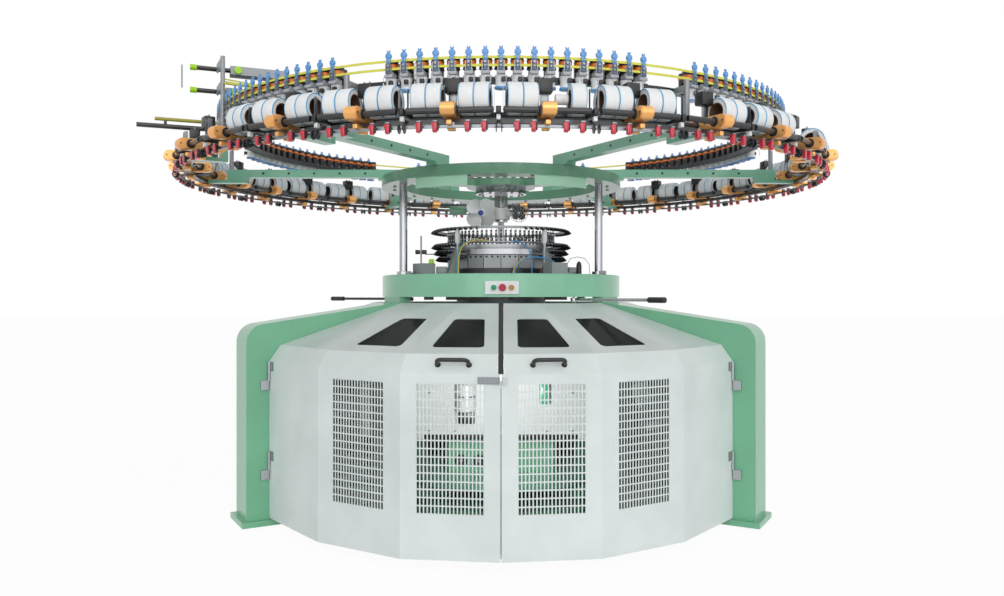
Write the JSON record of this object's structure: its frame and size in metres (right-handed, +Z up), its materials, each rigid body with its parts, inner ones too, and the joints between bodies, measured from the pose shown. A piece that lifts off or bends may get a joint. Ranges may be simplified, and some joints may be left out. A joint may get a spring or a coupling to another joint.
{
  "type": "industrial knitting machine",
  "caption": "Large circular knitting machine: three legs, round bed with a turning needle cylinder, guarded take-down, and raised rings of elastane units and yarn feeders.",
  "frame": {"origin": "on the machine's vertical axis at floor level", "axes": "+Z up, front with the two doors and the push buttons towards -Y, +X to the right seen from the front"},
  "size_m": [3.72, 3.707, 2.352],
  "materials": {
    "mint_paint": "satin enamel",
    "dark_green_paint": "satin enamel",
    "door_paint": "satin enamel",
    "grille_sheet": "satin",
    "bright_steel": "polished",
    "dark_steel": "satin black",
    "grey_steel": "ground",
    "white_paint": "satin enamel",
    "gold_anodised": "gold anodised",
    "white_yarn": "wound elastane",
    "red_plastic": "gloss",
    "green_plastic": "gloss",
    "orange_plastic": "gloss",
    "lime_plastic": "gloss",
    "feeder_body": "moulded",
    "yellow_belt": "matt",
    "black_grip": "matt",
    "black_rubber": "matt"
  },
  "bodies": {
    "frame": {"legs": "mint_paint", "levelling_feet": "dark_steel", "base_frame": "mint_paint", "bed_plate": "mint_paint", "control_plate": "bright_steel", "columns": "bright_steel", "upper_ring": "dark_green_paint", "radial_arms": "dark_green_paint", "elastane_rail": "dark_steel", "unit_housings": "gold_anodised", "unit_rods": "dark_steel", "yarn_packages": "white_yarn", "stop_motion_rail": "grey_steel", "stop_motions": "red_plastic", "feeder_rail": "dark_steel", "feeder_posts": "bright_steel", "yarn_feeders": "feeder_body", "feeder_belts": "yellow_belt", "side_tubes": "dark_steel", "side_caps": "lime_plastic", "side_brackets": "bright_steel", "central_shaft": "bright_steel", "cylinder_seat": "mint_paint", "cam_blocks": "grey_steel", "sinker_ring": "dark_steel", "yarn_guide_ring": "dark_steel", "valve_boxes": "white_paint", "rear_guards": "door_paint", "guard_grilles": "grille_sheet", "hinge_posts": "bright_steel", "drive_motor": "dark_steel"},
    "rotor": {"needle_cylinder": "bright_steel", "takedown_frame": "white_paint", "gearbox": "dark_green_paint", "turntable": "dark_green_paint"},
    "left_roller": {"left_takedown_roller": "bright_steel"},
    "right_roller": {"right_takedown_roller": "bright_steel"},
    "cloth_roll": {"cloth_roller": "bright_steel"},
    "left_leaf": {"left_door": "door_paint", "left_door_grilles": "grille_sheet", "left_handle": "black_grip", "left_hinge_knuckles": "bright_steel", "latch_plate": "bright_steel", "seam_seal": "black_rubber"},
    "latch": {"latch_bolt": "bright_steel"},
    "right_leaf": {"right_door": "door_paint", "right_door_grilles": "grille_sheet", "right_handle": "black_grip", "right_hinge_knuckles": "bright_steel", "latch_keeper": "bright_steel"},
    "green_push": {"green_button": "green_plastic"},
    "red_push": {"red_button": "red_plastic"},
    "orange_push": {"orange_button": "orange_plastic"},
    "left_hand_lever": {"left_lever": "dark_steel", "left_lever_grip": "black_grip"},
    "right_hand_lever": {"right_lever": "bright_steel", "right_lever_grip": "black_grip"},
    "fan_head": {"fan_carrier": "white_paint"},
    "large_fan_rotor": {"large_fan": "white_paint"},
    "small_fan_rotor": {"small_fan": "grey_steel"}
  },
  "joints": [
    {"name": "rotor_turn", "type": "hinge", "parent": "frame", "child": "rotor", "pos_m": [0, 0, 1.1], "axis": [0, 0, 1], "continuous": true},
    {"name": "left_roller_spin", "type": "hinge", "parent": "rotor", "child": "left_roller", "pos_m": [-0.034, 0, 0.56], "axis": [0, 1, 0], "continuous": true},
    {"name": "right_roller_spin", "type": "hinge", "parent": "rotor", "child": "right_roller", "pos_m": [0.034, 0, 0.56], "axis": [0, 1, 0], "continuous": true},
    {"name": "cloth_roller_spin", "type": "hinge", "parent": "rotor", "child": "cloth_roll", "pos_m": [0, 0, 0.452], "axis": [0, 1, 0], "continuous": true},
    {"name": "left_door_swing", "type": "hinge", "parent": "frame", "child": "left_leaf", "pos_m": [-1.15352, -0.80571, 0.735], "axis": [0, 0, -1], "range_deg": [0, 95]},
    {"name": "right_door_swing", "type": "hinge", "parent": "frame", "child": "right_leaf", "pos_m": [1.15352, -0.80571, 0.735], "axis": [0, 0, 1], "range_deg": [0, 95]},
    {"name": "latch_slide", "type": "slide", "parent": "left_leaf", "child": "latch", "axis": [0.9921, -0.1257, 0], "range_m": [0, 0.016]},
    {"name": "green_button_press", "type": "slide", "parent": "frame", "child": "green_push", "axis": [0, 1, 0], "range_m": [0, 0.003], "stiffness_N_per_m": 900, "springref_m": -0.001},
    {"name": "red_button_press", "type": "slide", "parent": "frame", "child": "red_push", "axis": [0, 1, 0], "range_m": [0, 0.003], "stiffness_N_per_m": 900, "springref_m": -0.001},
    {"name": "orange_button_press", "type": "slide", "parent": "frame", "child": "orange_push", "axis": [0, 1, 0], "range_m": [0, 0.003], "stiffness_N_per_m": 900, "springref_m": -0.001},
    {"name": "left_lever_swing", "type": "hinge", "parent": "frame", "child": "left_hand_lever", "pos_m": [-0.56898, 0.3285, 1.136], "axis": [0, 0, 1], "range_deg": [-15, 15]},
    {"name": "right_lever_swing", "type": "hinge", "parent": "frame", "child": "right_hand_lever", "pos_m": [0.38617, -0.53152, 1.136], "axis": [0, 0, 1], "range_deg": [-15, 15]},
    {"name": "fan_carrier_turn", "type": "hinge", "parent": "frame", "child": "fan_head", "pos_m": [0, 0, 1.637], "axis": [0, 0, 1], "continuous": true},
    {"name": "large_fan_spin", "type": "hinge", "parent": "fan_head", "child": "large_fan_rotor", "pos_m": [-0.118, -0.08, 1.637], "axis": [0, 1, 0], "continuous": true},
    {"name": "small_fan_spin", "type": "hinge", "parent": "fan_head", "child": "small_fan_rotor", "pos_m": [0.104, -0.08, 1.637], "axis": [0, 1, 0], "continuous": true}
  ],
  "couplings": [
    {"joint": "right_roller_spin", "follows": "left_roller_spin", "ratio": -1}
  ]
}
